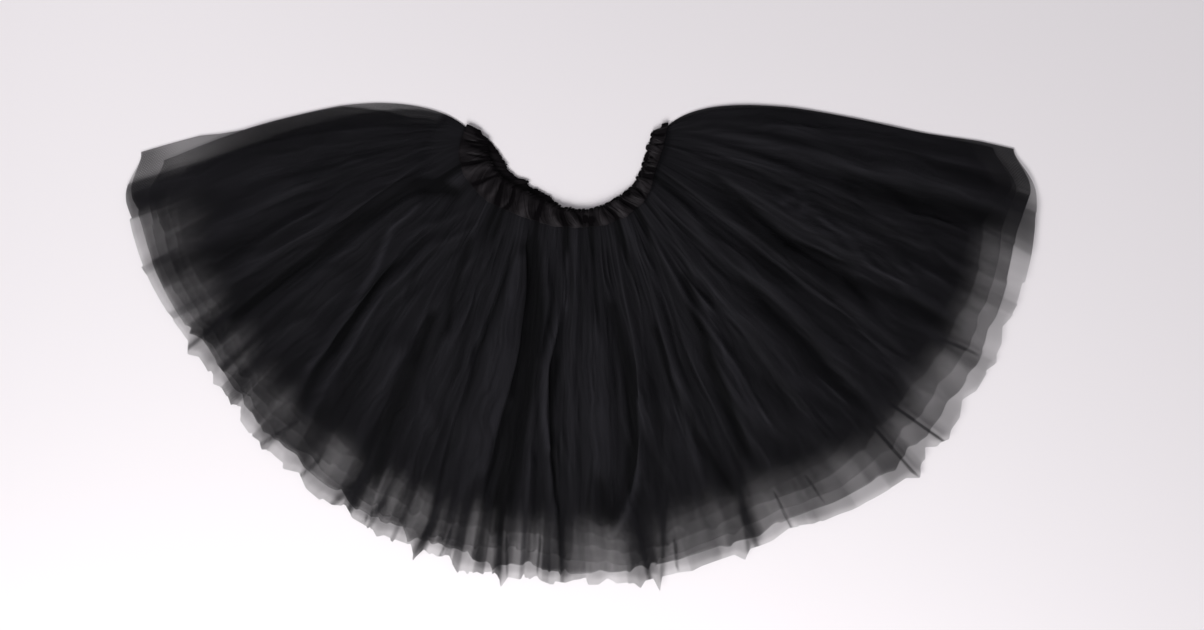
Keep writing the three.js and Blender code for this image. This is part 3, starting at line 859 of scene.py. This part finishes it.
def net_material():
    """Black net: mostly open, closer where it is gathered, with a fine mesh of holes, painted shade in its
    troughs and painted light on its crests.
    """
    material, tree, shader = new_material("black_net", 0.75, 0.05)
    cover = node(tree, "ShaderNodeAttribute", attribute_name="cover").outputs["Fac"]
    painted_light_and_shade = node(tree, "ShaderNodeAttribute", attribute_name="painted_light_and_shade").outputs["Fac"]
    split = node(tree, "ShaderNodeSeparateXYZ")
    tree.links.new(node(tree, "ShaderNodeUVMap", uv_map="UVMap").outputs[0], split.inputs[0])
    across, down = split.outputs[0], split.outputs[1]
    pattern = mesh_pattern(tree, across, down)
    wisps = wisp_pattern(tree, across, down)
    thickness = math(tree, "ADD", math(tree, "MULTIPLY", wisps, 0.9), 0.55)
    power = math(tree, "MULTIPLY", math(tree, "MULTIPLY", cover, pattern), thickness)
    through = math(tree, "POWER", 1 - SHEET_COVER, power)
    alpha = math(tree, "SUBTRACT", 1.0, through, clamp=True)
    tree.links.new(alpha, shader.inputs["Alpha"])
    scale = node(tree, "ShaderNodeVectorMath", operation="SCALE")
    # The base colour is painted shade in troughs and painted light on crests, taken from the attribute.
    tree.links.new(shade(tree, painted_light_and_shade, NET_PAINTED_SHADE, NET_PAINTED_LIGHT), scale.inputs[0])
    tree.links.new(math(tree, "MULTIPLY", wisps, 2.0), scale.inputs["Scale"])
    tree.links.new(scale.outputs[0], shader.inputs["Base Color"])
    shader.inputs["Sheen Weight"].default_value = 0.03
    shader.inputs["Sheen Roughness"].default_value = 0.5
    shader.inputs["Sheen Tint"].default_value = (0.9, 0.92, 1.0, 1)
    return material


def satin_material():
    """Black satin: smooth, with a soft gloss, a fine weave, painted sheen on its puffs and painted shade in
    its gathers.
    """
    material, tree, shader = new_material("black_satin", 0.45, 0.05)
    painted_sheen_and_shade = node(tree, "ShaderNodeAttribute", attribute_name="painted_sheen_and_shade").outputs["Fac"]
    # The base colour is painted sheen on the puffs and painted shade in the gathers, taken from the
    # attribute.
    tree.links.new(shade(tree, painted_sheen_and_shade, SATIN_PAINTED_SHADE, SATIN_PAINTED_SHEEN), shader.inputs["Base Color"])
    coordinates = node(tree, "ShaderNodeTexCoord")
    weave = node(tree, "ShaderNodeTexNoise")
    weave.inputs["Scale"].default_value = 900
    weave.inputs["Detail"].default_value = 2
    tree.links.new(coordinates.outputs["Object"], weave.inputs["Vector"])
    bump = node(tree, "ShaderNodeBump")
    bump.inputs["Strength"].default_value = 0.15
    bump.inputs["Distance"].default_value = 0.0003
    tree.links.new(weave.outputs["Fac"], bump.inputs["Height"])
    tree.links.new(bump.outputs[0], shader.inputs["Normal"])
    return material


# -------------------- the net rings

NET = net_material()
# Each ring's name and the solid that it replaces, and its flat cut in metres: width at the hem, length, and
# width at the top edge, which is gathered.
RINGS = [
    ("net_outer", "tulle_outer", 3.1, 0.38, 1.75),
    ("net_middle", "tulle_middle", 2.95, 0.355, 1.7),
    ("net_inner", "tulle_inner", 2.75, 0.332, 1.6),
]
for ring, (name, cad_node, width, length, top_width) in enumerate(RINGS):
    points, uv, values, columns = ring_points(ring)
    piece = mesh_object(name, points, tube_faces(CLOTH_ROWS, columns), values, uv)
    piece.data.materials.append(NET)
    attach(piece, "root")
    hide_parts(cad_node)

# -------------------- the waistband

BAND_FRONT, BAND_BACK, BAND_TURN = 1300, 600, 20  # columns on the front, the back and each end
BAND_OUTSIDE, BAND_INSIDE = 30, 10  # rows on the outside and the inside of the satin
# How far the gathers lean: how much further along the waist they are at the seam than at the upper edge.
LEAN_PLACES = [0, 0.06, 0.12, 0.20, 0.30, 0.40, 0.50, 0.56, 0.65, 0.72, 0.80, 0.86, 1]
LEANS = [0, 0.03, 0.07, 0.13, 0.13, 0.10, 0.08, 0.0, 0.035, 0.03, 0.0, -0.02, 0]
WAVER = 0.0025  # how far a gather wavers to either side, along the waist


def random_puffs(rng, count):
    """Random puffs of uneven width: where each starts along the waist, its size, and how far it leans."""
    edges = np.concatenate([[0], np.cumsum(rng.uniform(0.45, 1.6, count))])
    edges /= edges[-1]
    return [[edge, rng.uniform(0.4, 1.0), rng.uniform(-0.015, 0.015)] for edge in edges]


def pucker(rows, u, v):
    """The height of random puffs, from 0 in the gathers to about 1: u along the waist, v across the band."""
    height = np.zeros(np.broadcast_shapes(u.shape, v.shape))
    for k in range(len(rows) - 1):
        start, size, lean = rows[k]
        end, _, end_lean = rows[k + 1]
        low = start + lean * (v - 0.5) + WAVER * np.sin(5 * v + 2.3 * k)
        high = end + end_lean * (v - 0.5) + WAVER * np.sin(5 * v + 2.3 * (k + 1))
        x = np.abs((2 * u - low - high) / np.maximum(high - low, 0.004))
        along = 0.75 + 0.25 * np.sin(2.6 * v + 1.7 * k)
        dome = np.clip(1 - x ** 3, 0, 1) ** 0.7
        height = np.maximum(height, size * dome * along)
    return height


# Where the ruffled edge of the back half stands out most: place along the waist, half-width, and size in mm.
RUFFLE_BUMPS = [
    (0.0, 0.03, -3.0), (0.12, 0.02, 1.2), (0.238, 0.017, 4.8), (0.275, 0.010, -1.5), (0.345, 0.024, 2.6),
    (0.425, 0.020, -2.5), (0.68, 0.010, 1.5), (0.735, 0.012, 1.0), (0.78, 0.012, -1.5), (0.865, 0.014, 2.0),
]
BAND_CORNER = 7.0  # how much the band's upper edge rounds off at its two ends, in mm
FRONT_SEAM_Z, FRONT_EDGE_Z, BACK_Z = 8.6, 5.6, 1.9  # the heights of the band's two halves, in mm
WALL, PUFF_HEIGHT, ROLL_HEIGHT = 0.5, 4.0, 1.4  # what thickens the satin's outside, in mm
INNER_WALL = 0.9  # the same on its inside
RUFFLE_SIZE, FOOT_SIZE = 4.0, 2.0  # how far the upper edge and the gathers' foot stand out, in mm
RIM, FOOT = (0.78, 1.0), (0.0, 0.08)  # the ruffled edge and the foot of the gathers, across the band


def band_places():
    """Each column's place along the waist and its turn round the band's two ends, and each row's turn."""
    ends = np.linspace(0, 1, BAND_TURN + 2)[1:-1]
    front, back = np.linspace(0, 1, BAND_FRONT), np.linspace(1, 0, BAND_BACK)
    u = np.concatenate([front, np.ones(BAND_TURN), back, np.zeros(BAND_TURN)])
    turn = np.concatenate([np.zeros(BAND_FRONT), ends, np.ones(BAND_BACK), 1 + ends]) * np.pi
    outer = np.linspace(0, np.pi, BAND_OUTSIDE, endpoint=False)
    inner = np.linspace(np.pi, 2 * np.pi, BAND_INSIDE, endpoint=False)
    return u, turn, np.concatenate([outer, inner])[:, None]


def band_relief(u, v, leaned, is_back, top):
    """The satin's puffs, its ruffled edge, and its painted sheen and shade, at u along the waist and v
    across.
    """
    rng = np.random.default_rng(SEEDS["band"])
    upright = u + leaned[None] * (v - 0.5)
    back_puff = pucker(random_puffs(rng, 34), u, v)
    fine = pucker(random_puffs(rng, 75), upright, v)
    ruffle = pucker(random_puffs(rng, 60), u, v)
    crumple = pucker(random_puffs(rng, 130), upright, v)
    blotch = sample(streaks(rng, 70, 4), u, v)
    puffs, creases = traced(PUFFS, u, v * top), traced(CREASES, u, v * top)
    front_puff = np.clip(0.34 + 0.66 * puffs - 0.8 * creases - 0.25 * (0.55 - fine), 0, 1)
    puff = front_puff * (1 - is_back) + back_puff * is_back
    puff = puff * (0.8 + 0.2 * crumple)
    # Painted shade along the ruffled upper edge, stronger on the left, less where the ruffle stands out, with
    # random blotches.
    rim_shade_strength = 0.72 - 0.37 * smoothstep(u, 0.40, 0.46)
    rim_painted_shade = smoothstep(v, *RIM) * rim_shade_strength * (1.2 - 0.7 * ruffle) * (0.55 + 0.7 * blotch)
    # Painted sheen on the puffs; painted shade in the creases, along the ruffled edge, at the foot of the
    # gathers and on the back half; random blotches.
    painted_sheen_and_shade = puff * (1 - np.clip(rim_painted_shade, 0, 1)) * (1 - 0.3 * (1 - smoothstep(v, *FOOT)))
    painted_sheen_and_shade = painted_sheen_and_shade * (1 - 0.3 * is_back) * (0.7 + 0.3 * fine) * (0.66 + 0.55 * blotch)
    return puff, ruffle, painted_sheen_and_shade


def band_points():
    """Rows round the band's cross-section, columns round the waist, and each point's painted sheen and shade
    on the satin.
    """
    u, turn, around = band_places()
    is_back = (1 - np.cos(turn)) / 2
    v = 0.5 - 0.5 * np.cos(around) + 0 * u
    leaned = np.interp(u, LEAN_PLACES, LEANS) * (1 - is_back)
    u = u[None] - leaned[None] * (v - 0.5)
    row = section(u)
    seam, edge, opening = row[..., 0:2], row[..., 6:8], np.maximum(row[..., 8], 0)
    width = np.linalg.norm(edge - seam, axis=-1)
    upward = (edge - seam) / width[..., None]
    top = 1 - (1 - is_back) * opening / width
    puff, ruffle, painted_sheen_and_shade = band_relief(u, v, leaned, is_back, top)
    rim, foot = smoothstep(v, *RIM), 1 - smoothstep(v, *FOOT)
    from_end = np.minimum(u, 1 - u)
    scallop = (ruffle - 0.5) * RUFFLE_SIZE * rim + (0.4 - puff) * FOOT_SIZE * foot * (1 - is_back)
    scallop = scallop - BAND_CORNER * (1 - smoothstep(from_end, 0, 0.022)) ** 2 * smoothstep(v, 0.3, 1.0)
    for place, half, size in RUFFLE_BUMPS:
        scallop = scallop + size * np.exp(-((u - place) / half) ** 2) * rim * is_back
    plan = seam + (edge - seam) * (v * top)[..., None] + upward * scallop[..., None]
    front_z = FRONT_SEAM_Z + (FRONT_EDGE_Z - FRONT_SEAM_Z) * v
    middle_z, half_z = (front_z + BACK_Z) / 2, (front_z - BACK_Z) / 2
    outside = np.sin(around)
    swell = 0.3 + 0.7 * np.sin(np.pi * v)
    rolled = ROLL_HEIGHT * ruffle * np.exp(-((v - 0.9) / 0.09) ** 2)
    thick = (WALL + PUFF_HEIGHT * puff * swell * (1 - 0.6 * rim) + rolled) * outside
    thick = np.where(outside < 0, INNER_WALL * outside, thick)
    side = np.where(u > 0.5, 1.0, -1.0)
    tilt = np.where(turn > np.pi, -1.0, 1.0)
    reach = (half_z * np.abs(np.sin(turn)) + thick * np.sin(turn) * tilt) * side
    along = pace(u, np.zeros_like(u))
    plan = plan + along / np.linalg.norm(along, axis=-1)[..., None] * reach[..., None]
    z = middle_z + (half_z + thick) * np.cos(turn)
    flatter = 0.5 + 0.5 * smoothstep(from_end, 0, 0.12)
    return np.dstack([plan, np.maximum(z * flatter, 0.25)]), painted_sheen_and_shade


# Each point's painted sheen and shade goes onto the satin as an attribute.
grid, painted_sheen_and_shade = band_points()
rows, columns = painted_sheen_and_shade.shape
faces = tube_faces(rows + 1, columns)[:, ::-1] % (rows * columns)
band = mesh_object("satin_band", grid.reshape(-1, 3), faces, {"painted_sheen_and_shade": painted_sheen_and_shade.ravel()})
band.data.materials.append(satin_material())
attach(band, "root")
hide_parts("waistband")

# -------------------- floor, light and camera

FLOOR_HALF = 3.0
FLOOR_CORNERS = [(x * FLOOR_HALF, y * FLOOR_HALF, 0) for x, y in ((-1, -1), (1, -1), (1, 1), (-1, 1))]
floor_mesh = bpy.data.meshes.new("floor")
floor_mesh.from_pydata(FLOOR_CORNERS, [], [(0, 1, 2, 3)])
floor = place_in_scene("floor", floor_mesh)
floor_material, _, floor_shader = new_material("pale_floor", 0.9, 0.0)
floor_shader.inputs["Base Color"].default_value = (0.875, 0.835, 0.856, 1)
floor.data.materials.append(floor_material)


def aimed(lamp, direction):
    """Turns a lamp so that it shines in a direction."""
    lamp.rotation_euler = Vector(direction).to_track_quat("-Z", "Y").to_euler()


def area_light(name, place, aim, size, power):
    """A round lamp at a place, aimed at a point: its width in metres and its power in watts."""
    data = bpy.data.lights.new(name, "AREA")
    data.shape = "DISK"
    data.size = size
    data.energy = power
    lamp = place_in_scene(name, data)
    lamp.location = place
    aimed(lamp, np.array(aim, float) - np.array(place, float))
    lamp.visible_camera = False


area_light("key", (-0.35, -1.5, 1.1), (0.0, -0.3, 0.0), 1.0, 32)
area_light("side", (-0.58, 0.42, 0.55), (-0.58, 0.42, 0.0), 0.4, 0.35)
sun_data = bpy.data.lights.new("window", "SUN")
sun_data.energy = 1.4
sun_data.angle = 0.35
aimed(place_in_scene("window", sun_data), (0.80, 0.55, -0.60))
world = bpy.data.worlds.new("studio")
world.use_nodes = True
background = world.node_tree.nodes["Background"]
background.inputs["Color"].default_value = (0.97, 0.96, 1.0, 1)
background.inputs["Strength"].default_value = 0.29
scene.world = world
scene.view_settings.view_transform = "Standard"
scene.cycles.transparent_max_bounces = 48

VIEW_MIDDLE = (0.0257, 0.0354)  # the point of the floor in the middle of the picture
VIEW_WIDTH = 1.2847  # metres of floor across the picture
LENS, SENSOR = 50.0, 36.0
camera_data = bpy.data.cameras.new("camera")
camera_data.lens = LENS
camera_data.sensor_width = SENSOR
camera = place_in_scene("camera", camera_data)
camera.location = (*VIEW_MIDDLE, VIEW_WIDTH * LENS / SENSOR)
scene.camera = camera
